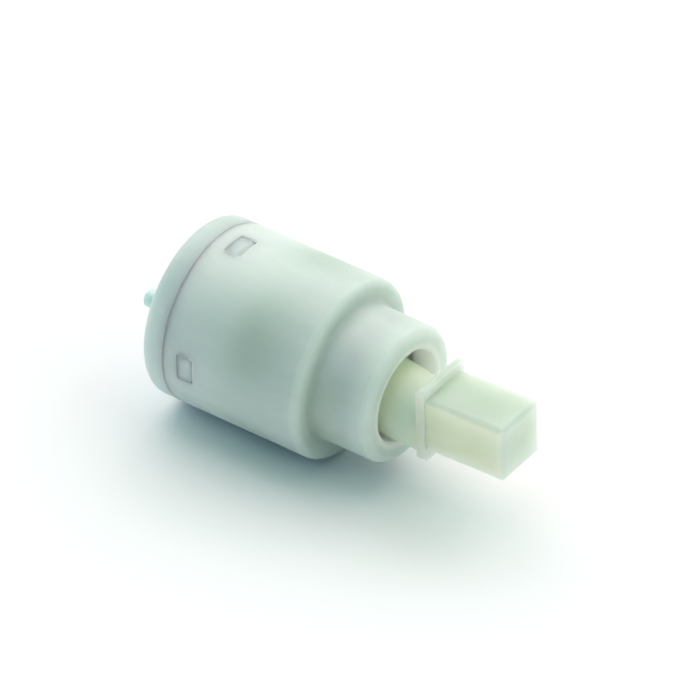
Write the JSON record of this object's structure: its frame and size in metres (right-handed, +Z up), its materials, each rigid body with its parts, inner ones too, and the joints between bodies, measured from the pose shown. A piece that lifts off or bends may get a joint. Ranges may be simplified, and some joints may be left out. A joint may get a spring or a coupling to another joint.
{
  "type": "diverter valve",
  "caption": "Plastic lever cartridge of a diverter valve: a round stepped housing with ceramic discs inside, worked by a tilting and turning square lever.",
  "frame": {"origin": "centre of the base's flat rear seat face, on the cartridge's axis", "axes": "+X along the axis from the seat face towards the lever, +Z up, the way the lever lifts, so the cartridge lies on its side"},
  "size_m": [0.0867, 0.04, 0.04],
  "materials": {
    "shell_plastic": "translucent white, satin",
    "base_plastic": "translucent blue-white, satin",
    "pin_plastic": "mint green, semi-gloss",
    "port_rubber": "soft blue-green silicone",
    "black_rubber": "moulded nitrile",
    "ceramic": "lapped alumina",
    "carrier_plastic": "glass-filled grey",
    "bush_plastic": "natural acetal, tinted yellow",
    "hub_plastic": "translucent pale green",
    "washer_plastic": "slippery white",
    "stop_plastic": "blue, semi-gloss",
    "steel": "ground",
    "mesh_steel": "perforated stainless",
    "core_brass": "machined",
    "lever_plastic": "translucent yellow-green, satin"
  },
  "bodies": {
    "housing": {"body_shell": "shell_plastic", "base_plate": "base_plastic", "locating_pin_near": "pin_plastic", "locating_pin_far": "pin_plastic", "supply_port_seal": "port_rubber", "outlet_port_seal_near": "port_rubber", "outlet_port_seal_far": "port_rubber", "disc_gasket": "black_rubber", "fixed_disc": "ceramic", "thrust_washer": "washer_plastic", "stop_ring": "stop_plastic"},
    "hub": {"hub": "hub_plastic", "hub_oring": "black_rubber", "cross_pin": "steel"},
    "carrier": {"moving_disc": "ceramic", "carrier_seal": "black_rubber", "noise_mesh": "mesh_steel", "disc_carrier": "carrier_plastic", "drive_bush": "bush_plastic"},
    "lever": {"lever_core": "core_brass", "lever_head": "lever_plastic"}
  },
  "joints": [
    {"name": "hub_turn", "type": "hinge", "parent": "housing", "child": "hub", "pos_m": [0.0407, 0, 0], "axis": [1, 0, 0], "range_deg": [-45, 45]},
    {"name": "lever_tilt", "type": "hinge", "parent": "hub", "child": "lever", "pos_m": [0.0407, 0, 0], "axis": [0, -1, 0], "range_deg": [0, 17.2]},
    {"name": "carrier_slide", "type": "slide", "parent": "hub", "child": "carrier", "axis": [0, 0, -1], "range_m": [0, 0.0037]}
  ],
  "couplings": [
    {"joint": "carrier_slide", "follows": "lever_tilt", "m_per_rad": 0.0122}
  ]
}
